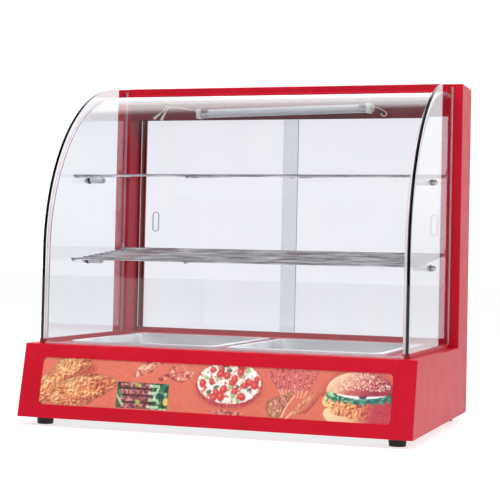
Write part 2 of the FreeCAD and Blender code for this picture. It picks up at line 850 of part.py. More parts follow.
def post(label, side):
    """Folded rear post, closed at the top, open at the foot."""
    body = new_body(label)
    low, high = (-half, -post_inner) if side < 0 else (post_inner, half)
    outline = sketch(body, "XY_Plane", z_deck)
    draw_outline(outline, rounded(low, high, y_frame, y_rear, 2))
    pad(body, outline, z_top - z_deck)
    hollow = sketch(body, "XY_Plane", z_deck)
    draw_outline(hollow, [(low + gauge, y_frame + gauge), (high - gauge, y_frame + gauge),
                          (high - gauge, y_rear - gauge), (low + gauge, y_rear - gauge)])
    pocket(body, hollow, z_top - z_deck - gauge, reverse=True)
    top = float(z_top)

    def top_edge(middle, edge):
        return abs(middle.z - top) < 0.01

    round_edges(body, 1.2, top_edge)
    return node(body, label)


def bottom_rail():
    """Channel across the foot of the rear frame."""
    outer = box((-post_inner, post_inner), (y_frame, y_rear), (z_deck, z_rail))
    inner = box((-post_inner - 1, post_inner + 1), (y_frame + gauge, y_rear - gauge),
                (z_deck - 1, z_rail - gauge))
    node(cut(outer, [inner]), "bottom_rail")


def track_profile(base, wall_top):
    """E-shaped channel for two doors: a web and three walls."""
    web = base + TRACK_WALL if wall_top.number > base.number else base - TRACK_WALL
    first, second, third = (track_front + DOOR_PITCH * i for i in range(3))
    return [
        (first, base), (third + TRACK_WALL, base), (third + TRACK_WALL, wall_top),
        (third, wall_top), (third, web), (second + TRACK_WALL, web),
        (second + TRACK_WALL, wall_top), (second, wall_top), (second, web),
        (first + TRACK_WALL, web), (first + TRACK_WALL, wall_top), (first, wall_top)]


JAMB_DEPTH = 4


def tracks():
    reach = post_inner - JAMB_DEPTH - 0.5
    node(extruded("lower_door_track", "YZ_Plane", track_profile(z_rail, z_rail + 8),
                  0, 2 * reach, both_ways=True), "lower_door_track")
    node(extruded("upper_door_track", "YZ_Plane", track_profile(z_beam, z_beam - 14),
                  0, 2 * reach, both_ways=True), "upper_door_track")
    rear = track_front + TRACK_DEPTH
    left, lip = -post_inner, -post_inner + JAMB_DEPTH
    web = left + TRACK_WALL
    jamb = extruded("jamb", "XY_Plane", [
        (left, track_front), (lip, track_front), (lip, track_front + TRACK_WALL),
        (web, track_front + TRACK_WALL), (web, rear - TRACK_WALL), (lip, rear - TRACK_WALL),
        (lip, rear), (left, rear)], z_rail, z_beam - z_rail)
    node(group([jamb, mirrored(jamb)]), "door_jambs")


PULL_X = 266
PULL_Z = 348
PULL_REACH = 3


def door(name, side):
    """Sliding glass pane with an oblong finger pull glued to the operator's side."""
    outer_edge = (post_inner - 2) * side
    inner_edge = outer_edge - door_width * side
    low, high = (outer_edge, inner_edge) if side < 0 else (inner_edge, outer_edge)
    front = door_y[name]
    node(box((low, high), (front, front + door_gauge), (door_low, door_high)),
         f"door_{name}")
    body = new_body(f"door_pull_{name}")
    back = front + door_gauge
    profile = sketch(body, "XZ_Plane", -back)
    for wide, tall, radius in ((6.6, 19, 6.5), (5.2, 17.6, 5.1)):
        draw_outline(profile, rounded(as_size(PULL_X * side - wide),
                                      as_size(PULL_X * side + wide),
                                      as_size(PULL_Z - tall), as_size(PULL_Z + tall), radius))
    pad(body, profile, PULL_REACH, reverse=True)
    node(body, f"door_pull_{name}")


lip_front = y_frame - lip_reach


def top_cover():
    """Cover between the posts: front lip with a bead, top, and rear skirt."""
    lip_low = z_top - lip_height
    bead = 2.2
    body = extruded("top_cover", "YZ_Plane", [
        (lip_front, lip_low), (lip_front, lip_low + 0.6, (lip_front, lip_low + 0.6 + bead)),
        (lip_front, lip_low + 0.6 + 2 * bead), (lip_front, z_top), (y_rear, z_top),
        (y_rear, z_beam), (y_rear - gauge, z_beam), (y_rear - gauge, z_top - gauge),
        (lip_front + gauge, z_top - gauge), (lip_front + gauge, lip_low)],
        0, 2 * post_inner - seam, both_ways=True)
    lip_y, top = float(lip_front), float(z_top)

    def lip_bend(middle, edge):
        return abs(middle.y - lip_y) < 0.01 and abs(middle.z - top) < 0.01 and edge.Length > 50

    round_edges(body, 2.0, lip_bend)
    return node(body, "top_cover")


PANEL_GAUGE = 1.2
LEAD_X = -222
LEAD_Z = 566
RETURN_X = lamp_x + lamp_length / 2 + 12
return_z = lamp_height - 3
face_low = z_top - beam_face
RETURN_RISE = 9.5
panel_top_y = lip_front + gauge + 0.2
panel_top_z = z_top - gauge - 0.2


def lamp_panel():
    """Inner face of the beam, from behind the lip down to the frame's front edge, and
    back up under the beam to the door track, with a hole for the leads at each side."""
    body = extruded("lamp_panel", "YZ_Plane", [
        (panel_top_y, panel_top_z), (y_frame + 0.2, face_low),
        (track_front - 0.5, face_low + RETURN_RISE),
        (track_front - 0.5, face_low + RETURN_RISE + PANEL_GAUGE),
        (y_frame + 0.2 + PANEL_GAUGE, face_low + 1.4 * PANEL_GAUGE),
        (panel_top_y + PANEL_GAUGE, panel_top_z)],
        0, 2 * post_inner - seam, both_ways=True)
    hole = sketch(body, "XZ_Plane", -(y_frame - 8))
    draw_circle(hole, LEAD_X, LEAD_Z, 4)
    draw_circle(hole, RETURN_X, return_z, 3)
    pocket(body, hole, 16)
    return node(body, "lamp_panel")


# ---------------------------------------------------------------- glazing

CHANNEL_GAUGE = 1.5
pane_foot = z_deck + CHANNEL_GAUGE
pane_rear = y_frame - 1.5
STUD_HOLE = 3.0


def side_glass(label, side):
    """Flat pane with a straight front that bends back into a level top."""
    body = new_body(label)
    start = -glass_outer if side < 0 else glass_inner
    profile = sketch(body, "YZ_Plane", start)
    centre = (bend_y, bend_z)
    draw_outline(profile, [
        (bend_y - bend_radius, pane_foot), (pane_rear, pane_foot),
        (pane_rear, bend_z + bend_radius), (bend_y, bend_z + bend_radius, centre),
        (bend_y - bend_radius, bend_z)])
    for height in (upper_stud, lower_stud):
        draw_circle(profile, stud_y, height, STUD_HOLE)
    pad(body, profile, glass_gauge)
    return node(body, label)


front_inner = front_outer - glass_gauge
front_y = bend_y - bend_radius + front_glass_inset + front_outer
front_z = bend_z + bend_radius - front_glass_drop - front_outer
front_half = glass_inner - bead_width
bent_rear = lip_front - 0.2


def bent_profile(foot):
    """Section of the bent front glass: straight front, quarter bend, level top."""
    centre = (front_y, front_z)
    return [
        (front_y - front_outer, foot), (front_y - front_inner, foot),
        (front_y - front_inner, front_z, centre), (front_y, front_z + front_inner),
        (bent_rear, front_z + front_inner), (bent_rear, front_z + front_outer),
        (front_y, front_z + front_outer, centre), (front_y - front_outer, front_z)]


def glazing():
    side_glass("side_glass_left", -1)
    side_glass("side_glass_right", 1)
    node(extruded("front_glass", "YZ_Plane", bent_profile(z_deck + 1.2), 0,
                  2 * front_half, both_ways=True), "front_glass")
    bead = extruded("bead", "YZ_Plane", bent_profile(z_deck + 8), front_half, bead_width)
    node(group([bead, mirrored(bead)]), "glass_beads")
    low, high = glass_inner - 2, glass_outer + 2
    slot_low, slot_high = glass_inner - 0.3, glass_outer + 0.3
    wall_top = z_deck + 7
    channel = extruded("channel", "XZ_Plane", [
        (low, z_deck), (high, z_deck), (high, wall_top), (slot_high, wall_top),
        (slot_high, pane_foot), (slot_low, pane_foot), (slot_low, wall_top),
        (low, wall_top)], -pane_rear, pane_rear - (bend_y - bend_radius) - 1)
    node(group([channel, mirrored(channel)]), "side_glass_channels")
    strip = box((glass_inner - 1, glass_outer + 1), (pane_rear, y_frame),
                (wall_top, bend_z + bend_radius))
    node(group([strip, mirrored(strip)]), "side_glass_seals")
    front, back = front_y - front_outer, front_y - front_inner
    foot = z_deck + 1.2
    rim = z_deck + 2.4
    low_seal = extruded("low_seal", "YZ_Plane", [
        (front - 1.2, z_deck), (back + 1.2, z_deck), (back + 1.2, rim), (back + 0.2, rim),
        (back + 0.2, foot), (front - 0.2, foot), (front - 0.2, rim), (front - 1.2, rim)],
        0, 2 * (glass_inner - 2.2), both_ways=True)
    top = front_z + front_outer
    high_seal = extruded("high_seal", "YZ_Plane", [
        (bent_rear - 9, top), (bent_rear, top), (bent_rear, top - glass_gauge),
        (bent_rear + 1.2, top - glass_gauge), (bent_rear + 1.2, top + 0.9),
        (bent_rear - 9, top + 0.9)], 0, 2 * front_half, both_ways=True)
    node(group([low_seal, high_seal]), "front_glass_seals")


# ---------------------------------------------------------------- wire racks

FRAME_WIRE = 1.6
EDGE_WIRE = 1.6
THIN_WIRE = 1.15
THIN_WIRES = 9
SIDE_BAR_X = 296
MIDDLE_BAR_X = 90
WIRE_REACH = 300
REAR_REACH = 304.5
SLEEVE_RADIUS = 5
SLEEVE_LENGTH = 25
WASHER = 2
CLEAR = 0.35
HOOK_X = 302.7
HOOK_WIRE = 1.8


def rack_origin(stud, tilt):
    """Front end of the side bars, set so that they rest on the sleeves."""
    height_at_stud = stud + (SLEEVE_RADIUS + CLEAR + FRAME_WIRE) / cosine(tilt)
    fall = (stud_y - rack_front) * sine(tilt) / cosine(tilt)
    return height_at_stud - fall


def rack(label, stud, tilt):
    """Wire shelf: round bars front to back with thinner wires across them."""
    sink = 0.4
    wires = []
    for x in (-SIDE_BAR_X, -MIDDLE_BAR_X, MIDDLE_BAR_X, SIDE_BAR_X):
        wires.append(rod(FRAME_WIRE, rack_length + 6, (x, -3, 0), "y"))
    edge_z = FRAME_WIRE + EDGE_WIRE - sink
    wires.append(rod(EDGE_WIRE, 2 * WIRE_REACH, (-WIRE_REACH, 0, edge_z), "x"))
    wires.append(rod(EDGE_WIRE, 2 * REAR_REACH, (-REAR_REACH, rack_length, edge_z), "x"))
    for i in range(THIN_WIRES):
        y = rack_length * ((i + 1) / (THIN_WIRES + 1))
        wires.append(rod(THIN_WIRE, 2 * WIRE_REACH,
                         (-WIRE_REACH, y, FRAME_WIRE + THIN_WIRE - sink), "x"))
    shelf = fuse(wires)
    place(shelf, 0, rack_front, rack_origin(stud, tilt), axis=(1, 0, 0), angle=tilt)
    return node(shelf, label)


def rack_supports():
    """Studs with sleeves through the side glass, and hooks on the posts, for each rack."""
    sleeves, washers, screws, nuts, hooks = [], [], [], [], []
    for stud, tilt in ((upper_stud, upper_tilt), (lower_stud, lower_tilt)):
        inner = glass_inner - WASHER - SLEEVE_LENGTH
        sleeve = cut(rod(SLEEVE_RADIUS, SLEEVE_LENGTH, (inner, stud_y, stud), "x"),
                     [rod(2.6, SLEEVE_LENGTH + 2, (inner - 1, stud_y, stud), "x")])
        washer = cut(rod(6, WASHER, (glass_inner - WASHER, stud_y, stud), "x"),
                     [rod(2.6, WASHER + 2, (glass_inner - WASHER - 1, stud_y, stud), "x")])
        shank = rod(2.4, glass_outer + 6 - inner, (inner, stud_y, stud), "x")
        head = rod(4.2, 2.4, (inner - 2.4, stud_y, stud), "x")
        screw = fuse([shank, head])
        hex_part = rod(5, 4, (glass_outer, stud_y, stud), "x")
        dome = ball(4.4, (glass_outer + 4, stud_y, stud))
        nut = cut(fuse([hex_part, dome]), [rod(2.45, 7, (glass_outer - 1, stud_y, stud), "x")])
        wire_height = rack_length * sine(tilt) + (
            FRAME_WIRE + EDGE_WIRE - 0.4) * cosine(tilt)
        hook_z = rack_origin(stud, tilt) + wire_height - EDGE_WIRE - CLEAR - HOOK_WIRE
        tip_y = y_frame - 15
        hook = fuse([
            rod(HOOK_WIRE, y_frame - tip_y, (HOOK_X, tip_y, hook_z), "y"),
            ball(HOOK_WIRE, (HOOK_X, tip_y, hook_z)),
            rod(HOOK_WIRE, 12, (HOOK_X, tip_y, hook_z), "z")])
        for piece, pile in ((sleeve, sleeves), (washer, washers), (screw, screws),
                            (nut, nuts), (hook, hooks)):
            pile.extend([piece, mirrored(piece)])
    for label, pile in (("rack_sleeves", sleeves), ("rack_washers", washers),
                        ("rack_screws", screws), ("rack_cap_nuts", nuts),
                        ("rack_hooks", hooks)):
        node(group(pile), label)


# ---------------------------------------------------------------- lamp

TUBE_RADIUS = 8
TUBE_Y = 102
HOLDER = 8
CAP_LENGTH = 13
BOSS_RADIUS = 4
lamp_half = lamp_length / 2


def hang_lamp(obj, label):
    """The whole lamp hangs a little askew, its right end higher."""
    place(obj, lamp_x, 0, lamp_height, axis=(0, 1, 0), angle=-lamp_skew)
    return node(obj, label)


def lamp():
    inner = lamp_half - HOLDER
    channel = cut(box((-inner, inner), (111, 131.4), (-2, 8.5)),
                  [box((-inner + 2, inner - 2), (113, 129.4), (-3, 7))])
    hang_lamp(channel, "lamp_batten")
    holders = []
    for side in (-1, 1):
        low, high = (-lamp_half, -inner) if side < 0 else (inner, lamp_half)
        block = box((low, high), (TUBE_Y - 9, 126), (-8.7, 8.7))
        inset = box((low, high), (TUBE_Y + 9, 127), (-11, -3))
        bore = rod(BOSS_RADIUS + 0.06, HOLDER - 1.5, (-inner - 6.5 if side < 0 else inner,
                                                     TUBE_Y, 0), "x")
        holders.append(cut(block, [inset, bore]))
    hang_lamp(group(holders), "lamp_holders")
    glass_half = inner - 0.5 - CAP_LENGTH
    tube = new_body("lamp_tube")
    pad(tube, draw_circle(sketch(tube, "YZ_Plane", -glass_half), TUBE_Y, 0, TUBE_RADIUS),
        2 * glass_half)
    hang_lamp(tube, "lamp_tube")
    caps = []
    for side in (-1, 1):
        start = -glass_half - CAP_LENGTH if side < 0 else glass_half
        boss = -inner - 5.5 if side < 0 else glass_half + CAP_LENGTH
        caps.append(fuse([rod(TUBE_RADIUS + 0.25, CAP_LENGTH, (start, TUBE_Y, 0), "x"),
                          rod(BOSS_RADIUS, 6, (boss, TUBE_Y, 0), "x")]))
    hang_lamp(group(caps), "lamp_tube_caps")
    left_end = float(lamp_x - lamp_half)
    z = float(lamp_height)
    low_z = z - 3.5
    lead = [(left_end - 0.6, 108, low_z + 2), (left_end - 5, 108.5, low_z + 3),
            (left_end - 10, 109.5, low_z + 10), (left_end - 18, 110, low_z + 8),
            (left_end - 30, 112, low_z + 12.5), (left_end - 47, 114, low_z + 14),
            (left_end - 56, 112, low_z + 16), (LEAD_X + 5.1, 110, LEAD_Z - 8.5),
            (LEAD_X + 1.7, 110, LEAD_Z - 15.2)]
    tail = [(LEAD_X, 138, LEAD_Z), (LEAD_X, 122, LEAD_Z - 1), (LEAD_X, 116, LEAD_Z - 4),
            (LEAD_X - 1.5, 110, LEAD_Z - 11.7), (LEAD_X - 7.3, 110, LEAD_Z - 16.4)]
    right_end = float(lamp_x + lamp_half)
    loop = [(right_end + 0.6, 108, z + 5), (right_end + 8, 110, z + 6),
            (right_end + 19, 112, z + 0.5), (right_end + 26, 113, z - 5),
            (right_end + 22.5, 115, z - 10), (right_end + 14, 119, z - 8),
            (right_end + 12, 126, z - 3.5), (right_end + 12, 138, z - 3)]
    node(wire_feature([lead, tail, loop], 0.8), "lamp_leads")
    sleeves = []
    for foot, lean in (((LEAD_X - 7.7, 110, LEAD_Z - 16.7), 231),
                       ((LEAD_X + 1.5, 110, LEAD_Z - 15.6), 207)):
        piece = doc.addObject("Part::Cone", "crimp_sleeve")
        bind(piece, "Radius1", 1.8)
        bind(piece, "Radius2", 2.8)
        bind(piece, "Height", 17)
        place(piece, *foot, axis=(0, 1, 0), angle=lean)
        sleeves.append(piece)
    node(group(sleeves), "lamp_connectors")


# ---------------------------------------------------------------- feet and screws

FOOT_X = 298
foot_ys = [y_front + 42, y_rear - 34]


def feet():
    pads, screws = [], []
    for side in (-1, 1):
        for y in foot_ys:
            x = FOOT_X * side
            cone = doc.addObject("Part::Cone", "foot")
            bind(cone, "Radius1", foot_radius - 1.5)
            bind(cone, "Radius2", foot_radius)
            bind(cone, "Height", foot_height)
            place(cone, x, y, 0)
            recess = rod(6, 6, (x, y, -1))
            bore = rod(2.3, foot_height + 2, (x, y, -1))
            pads.append(cut(cone, [recess, bore]))
            head = rod(4, 2, (x, y, 3))
            screws.append(fuse([rod(2.1, foot_height + gauge - 4, (x, y, 4)), head]))
    node(group(pads), "rubber_feet")
    node(group(screws), "foot_screws")
    rear = []
    for side in (-1, 1):
        for height in rear_screw_heights:
            x = REAR_SCREW_X * side
            shank = rod(SCREW_RADIUS, 8, (x, panel_back - 7, height), "y")
            head = cut(ball(4.2, (x, panel_back - 1.2, height)),
                       [box((x - 6, x + 6), (panel_back - 8, panel_back),
                            (height - 6, height + 6))])
            rear.append(fuse([shank, head]))
    node(group(rear), "rear_screws")


# ---------------------------------------------------------------- build and write

base_side("base_side_left", -1)
base_side("base_side_right", 1)
base_front_panel()
graphic()
top_deck()
heat_tray()
heating_elements()
pan("pan_left", -1)
pan("pan_right", 1)
bottom_plate()
rear_panel()
thermostat()
bulb_and_capillary()
switch("power")
switch("light")
pilot_lamp()
cable_gland()
terminal_block()
supply_leads()
post("post_left", -1)
post("post_right", 1)
bottom_rail()
tracks()
door("left", -1)
door("right", 1)
top_cover()
lamp_panel()
glazing()
rack("rack_upper", upper_stud, upper_tilt)
rack("rack_lower", lower_stud, lower_tilt)
rack_supports()
lamp()
feet()
doc.recompute()

broken = [item.Label for item in doc.Objects
          if "Invalid" in item.State or "Error" in item.State]
if broken:
    raise RuntimeError(f"failed to build: {broken}")
for label, item in nodes.items():
    if item.Shape.isNull() or not item.Shape.isValid():
        raise RuntimeError(f"{label} has no valid shape")
    if not item.Shape.Solids:
        raise RuntimeError(f"{label} holds no solid")

print("smallest wire bend, mm:", round(min(bend_radii), 1))
for label, item in nodes.items():
    item.Shape.exportStep(os.path.join("parts", label + ".step"))
print(len(nodes), "sub-parts written")
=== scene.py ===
import json
import math

import bpy
import numpy as np
from mathutils import Matrix, Vector


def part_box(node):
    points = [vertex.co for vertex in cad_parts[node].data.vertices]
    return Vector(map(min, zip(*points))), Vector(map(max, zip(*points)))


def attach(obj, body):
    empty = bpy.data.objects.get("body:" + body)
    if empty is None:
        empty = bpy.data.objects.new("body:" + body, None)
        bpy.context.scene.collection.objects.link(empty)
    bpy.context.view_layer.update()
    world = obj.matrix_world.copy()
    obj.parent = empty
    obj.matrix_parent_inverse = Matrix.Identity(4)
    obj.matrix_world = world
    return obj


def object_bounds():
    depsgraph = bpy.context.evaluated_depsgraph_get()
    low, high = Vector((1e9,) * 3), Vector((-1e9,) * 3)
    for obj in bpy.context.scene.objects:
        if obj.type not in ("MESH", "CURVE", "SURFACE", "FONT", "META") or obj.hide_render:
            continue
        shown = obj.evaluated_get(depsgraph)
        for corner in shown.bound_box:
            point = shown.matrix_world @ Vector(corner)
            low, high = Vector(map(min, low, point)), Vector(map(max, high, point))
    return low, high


# Lengths are in metres and colours are display colours from 0 to 255, unless a comment or
# a name says otherwise.

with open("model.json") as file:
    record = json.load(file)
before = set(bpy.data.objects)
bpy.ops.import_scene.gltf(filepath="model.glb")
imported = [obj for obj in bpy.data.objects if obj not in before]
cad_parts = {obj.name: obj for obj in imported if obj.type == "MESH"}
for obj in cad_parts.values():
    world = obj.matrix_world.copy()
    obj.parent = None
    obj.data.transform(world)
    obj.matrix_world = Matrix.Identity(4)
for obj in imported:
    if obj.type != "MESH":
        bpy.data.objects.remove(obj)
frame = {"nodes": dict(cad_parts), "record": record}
cad_low, cad_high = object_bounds()


# ---------------------------------------------------------------- colour and nodes

MIX_FIRST, MIX_SECOND, MIX_RESULT = 6, 7, 2     # sockets of a Mix node in its colour mode


def linear(levels):
    """Display levels, here from 0 to 1, as scene-linear ones."""
    return np.where(levels > 0.04, ((levels + 0.055) / 1.055) ** 2.4, levels / 12.92)


class Nodes:
    """A node tree with small helpers. Values are given as numbers or as output sockets."""

    def __init__(self, tree):
        self.tree = tree

    def add(self, kind, **properties):
        node = self.tree.nodes.new(kind)
        for key, value in properties.items():
            setattr(node, key, value)
        return node

    def link(self, output, target):
        self.tree.links.new(output, target)

    def calculate(self, operation, *values):
        node = self.add("ShaderNodeMath", operation=operation)
        for socket, value in zip(node.inputs, values):
            if isinstance(value, (int, float)):
                socket.default_value = value
            else:
                self.link(value, socket)
        return node.outputs["Value"]

    def remap(self, value, low, high, start=0.3, end=0.7, interpolation="LINEAR"):
        """Carries start to end over to low to high; noise mostly lies in 0.3 to 0.7."""
        node = self.add("ShaderNodeMapRange", interpolation_type=interpolation)
        for socket, number in (("From Min", start), ("From Max", end),
                               ("To Min", low), ("To Max", high)):
            node.inputs[socket].default_value = number
        self.link(value, node.inputs["Value"])
        return node.outputs["Result"]


class Shader(Nodes):
    """A Principled material with small helpers for procedural detail."""

    def __init__(self, name, **sockets):
        self.material = bpy.data.materials.new(name)
        self.material.use_nodes = True
        super().__init__(self.material.node_tree)
        self.bsdf = self.tree.nodes["Principled BSDF"]
        for socket, value in sockets.items():
            self.bsdf.inputs[socket.replace("_", " ")].default_value = value
        self.coords = self.add("ShaderNodeTexCoord").outputs

    def noise(self, scale, detail, stretch=(1, 1, 1)):
        mapping = self.add("ShaderNodeMapping")
        mapping.inputs["Scale"].default_value = stretch
        self.link(self.coords["Object"], mapping.inputs["Vector"])
        noise = self.add("ShaderNodeTexNoise")
        noise.inputs["Scale"].default_value = scale
        noise.inputs["Detail"].default_value = detail
        self.link(mapping.outputs["Vector"], noise.inputs["Vector"])
        return noise.outputs["Fac"]

    def blend(self, factor, first, second):
        node = self.add("ShaderNodeMix", data_type="RGBA")
        self.link(factor, node.inputs["Factor"])
        for index, colour in ((MIX_FIRST, first), (MIX_SECOND, second)):
            if isinstance(colour, tuple):
                node.inputs[index].default_value = (*linear(np.array(colour) / 255), 1.0)
            else:
                self.link(colour, node.inputs[index])
        return node.outputs[MIX_RESULT]

    def colour(self, output):
        self.link(output, self.bsdf.inputs["Base Color"])

    def tone(self, value, light, dark):
        self.colour(self.blend(self.remap(value, 0, 1), dark, light))

    def rough(self, value, low, high):
        self.link(self.remap(value, low, high), self.bsdf.inputs["Roughness"])

    def bump(self, height, distance, strength):
        node = self.add("ShaderNodeBump")
        node.inputs["Strength"].default_value = strength
        node.inputs["Distance"].default_value = distance
        self.link(height, node.inputs["Height"])
        self.link(node.outputs["Normal"], self.bsdf.inputs["Normal"])


# ---------------------------------------------------------------- kinds of material

def painted(name, light, dark, rough, coat, shine):
    """Powder coat: faint orange peel, a slow change of tone and patches of other gloss."""
    shader = Shader(name, Coat_Weight=coat, Coat_Roughness=0.12, Specular_IOR_Level=shine)
    shader.tone(shader.noise(scale=9, detail=4), light, dark)
    shader.rough(shader.noise(scale=35, detail=5), *rough)
    shader.bump(shader.noise(scale=1400, detail=2), distance=0.00004, strength=0.5)
    return shader


def metal(name, light, dark, rough, scale, stretch=(1, 1, 1), metallic=1.0):
    """Bare or plated metal; a stretched noise gives the brushing."""
    shader = Shader(name, Metallic=metallic)
    grain = shader.noise(scale, 4, stretch)
    shader.tone(grain, light, dark)
    shader.rough(grain, *rough)
    shader.bump(grain, distance=0.00003, strength=0.6)
    return shader


def plastic(name, light, dark, rough, scale=60, depth=0.00003, **sockets):
    """Moulded plastic, rubber, enamelled or ceramic parts, with a fine surface texture."""
    shader = Shader(name, **sockets)
    patches = shader.noise(scale, detail=4)
    shader.tone(patches, light, dark)
    shader.rough(patches, *rough)
    shader.bump(shader.noise(scale=900, detail=2), distance=depth, strength=0.5)
    return shader


def see_through(shader, tint):
    """Lets lamp light through, so that clear parts throw almost no shadow. The tint is
    scene-linear."""
    path = shader.add("ShaderNodeLightPath")
    clear = shader.add("ShaderNodeBsdfTransparent")
    clear.inputs["Color"].default_value = (*tint, 1.0)
    mix = shader.add("ShaderNodeMixShader")
    output = shader.tree.nodes["Material Output"]
    shader.link(path.outputs["Is Shadow Ray"], mix.inputs["Fac"])
    shader.link(shader.bsdf.outputs["BSDF"], mix.inputs[1])
    shader.link(clear.outputs["BSDF"], mix.inputs[2])
    shader.link(mix.outputs["Shader"], output.inputs["Surface"])


def pane(name, face, edge=None, axis=None):
    """Polished glass. Faces across the axis, and those that face the rear, are clear; the
    other cut edges are darker. Without an axis it is clear all over."""
    shader = Shader(name, Transmission_Weight=1.0, IOR=1.5)
    smear = shader.noise(scale=14, detail=5)
    shader.rough(smear, 0.0, 0.03)
    clear = shader.blend(shader.remap(smear, 0, 1), face, tuple(c + 2 for c in face))
    if axis is not None:
        split = shader.add("ShaderNodeSeparateXYZ")
        shader.link(shader.coords["Normal"], split.inputs["Vector"])
        across = shader.calculate("ABSOLUTE", split.outputs[axis])
        facing = shader.calculate("MAXIMUM", across, split.outputs["Y"])
        clear = shader.blend(shader.remap(facing, 1, 0, 0.4, 0.6), clear, edge)
    shader.colour(clear)
    see_through(shader, (0.93, 0.95, 0.95))
    return shader


# ---------------------------------------------------------------- looks of the slots

# The slot, its kind, its light and dark tones, its range of roughness, and other settings.
SLOT_LOOKS = (
    ("red_paint", painted, (190, 18, 40), (180, 14, 35), (0.40, 0.46),
     dict(coat=0.0, shine=0.22)),
    # dark_frame is the red paint darkened: painted shade for the lamp panel, door jambs and
    # upper door track, which sit in shade.
    ("dark_frame", painted, (128, 12, 36), (112, 8, 30), (0.4, 0.5),
     dict(coat=0.0, shine=0.15)),
    ("white_enamel", painted, (238, 239, 241), (226, 228, 231), (0.28, 0.4),
     dict(coat=0.3, shine=0.4)),
    ("zinc_steel", metal, (188, 190, 194), (160, 163, 168), (0.35, 0.55), dict(scale=70)),
    ("stainless", metal, (255, 255, 255), (196, 195, 202), (0.14, 0.32),
     dict(scale=14, stretch=(0.3, 1, 1), metallic=0.35)),
    ("element_steel", metal, (110, 104, 100), (70, 62, 58), (0.4, 0.6), dict(scale=90)),
    ("chrome_wire", metal, (255, 255, 255), (136, 135, 142), (0.05, 0.16),
     dict(scale=60, stretch=(0.3, 1, 1), metallic=0.85)),
    ("steel_screws", metal, (206, 206, 208), (176, 176, 180), (0.2, 0.36),
     dict(scale=200, metallic=0.7)),
    ("cap_metal", metal, (206, 207, 210), (178, 179, 184), (0.25, 0.4), dict(scale=150)),
    ("dial_metal", metal, (220, 220, 222), (200, 200, 204), (0.3, 0.45),
     dict(scale=260, stretch=(0.05, 1, 1))),
    ("shaft_steel", metal, (205, 205, 205), (180, 180, 182), (0.2, 0.35), dict(scale=260)),
    ("copper_tube", metal, (214, 140, 104), (180, 105, 76), (0.25, 0.42), dict(scale=90)),
    ("clear_silicone", plastic, (240, 226, 231), (224, 208, 214), (0.12, 0.25),
     dict(scale=40, depth=0.0001, Transmission_Weight=0.55, IOR=1.41)),
    ("clear_plastic", plastic, (248, 249, 252), (238, 239, 243), (0.15, 0.3),
     dict(scale=50, Transmission_Weight=0.45, IOR=1.4)),
    ("lamp_glass", plastic, (240, 242, 246), (226, 229, 234), (0.1, 0.2),
     dict(scale=12, Transmission_Weight=0.25, Coat_Weight=0.6, Coat_Roughness=0.05)),
    ("red_lens", plastic, (206, 30, 24), (186, 20, 18), (0.1, 0.2), dict(Coat_Weight=0.5)),
    ("printed_panel", plastic, (226, 116, 90), (220, 108, 82), (0.3, 0.4), {}),
    ("black_rubber", plastic, (30, 30, 31), (18, 18, 19), (0.55, 0.75), {}),
    ("black_plastic", plastic, (34, 34, 36), (22, 22, 24), (0.35, 0.5), {}),
    ("white_plastic", plastic, (240, 239, 236), (226, 225, 221), (0.25, 0.4), {}),
    ("white_ceramic", plastic, (238, 236, 230), (222, 219, 211), (0.4, 0.6), {}),
    ("cream_lead", plastic, (236, 230, 222), (220, 211, 202), (0.4, 0.55), {}),
    ("grey_lead", plastic, (204, 204, 200), (182, 182, 178), (0.4, 0.55), {}),
)
looks = {slot: kind(slot, light, dark, rough, **settings)
         for slot, kind, light, dark, rough, settings in SLOT_LOOKS}
see_through(looks["clear_silicone"], (0.85, 0.88, 0.9))
see_through(looks["clear_plastic"], (0.85, 0.87, 0.88))

side_pane = pane("side_glass", (230, 232, 237), (62, 104, 116), "X")
front_pane = pane("front_glass", (251, 251, 254))
door_pane = pane("door_glass", (231, 232, 236), (34, 44, 48), "Y")
panes = {"side_glass_left": side_pane, "side_glass_right": side_pane,
         "front_glass": front_pane, "door_left": door_pane, "door_right": door_pane}


def dress(obj, shader):
    obj.data.materials.clear()
    obj.data.materials.append(shader.material)


slot_of = {row["node"]: row["material_slot"] for row in frame["record"]["subparts"]}
for node_name, node_object in frame["nodes"].items():
    dress(node_object, panes.get(node_name) or looks[slot_of[node_name]])


# ---------------------------------------------------------------- added pieces

def add_object(name, data):
    obj = bpy.data.objects.new(name, data)
    bpy.context.collection.objects.link(obj)
    return obj


def piece(name, data, shader, place=(0, 0, 0), turn=(0, 0, 0)):
    """A visible piece on the case, from a mesh or a text; turn is in radians."""
    obj = add_object(name, data)
    obj.rotation_euler = turn
    obj.location = place
    dress(obj, shader)
    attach(obj, "case")


def new_mesh(name, vertices, faces):
    mesh = bpy.data.meshes.new(name)
    mesh.from_pydata([tuple(v) for v in vertices], [], faces)
    mesh.update()
    return mesh


# ---------------------------------------------------------------- painting the food print

# On the print, places are (u, w) in millimetres along and up the sloping panel, from the
# middle of its lower edge. Radii and half lengths are in millimetres too, turns in degrees.
PRINT_HALF, PRINT_BOTTOM, PRINT_TOP, GRID = 295, 21.4, 100.6, 0.7
PRINT_SHIFT = 12        # it is printed larger towards its left end than towards its right
ALONG, W = np.meshgrid(np.arange(-PRINT_HALF, PRINT_HALF + GRID, GRID),
                       np.arange(PRINT_BOTTOM, PRINT_TOP, GRID))
U = ALONG - PRINT_SHIFT * (1 - (ALONG / PRINT_HALF) ** 2)
paint = np.empty(U.shape + (3,))

NOISE_CELLS = 128


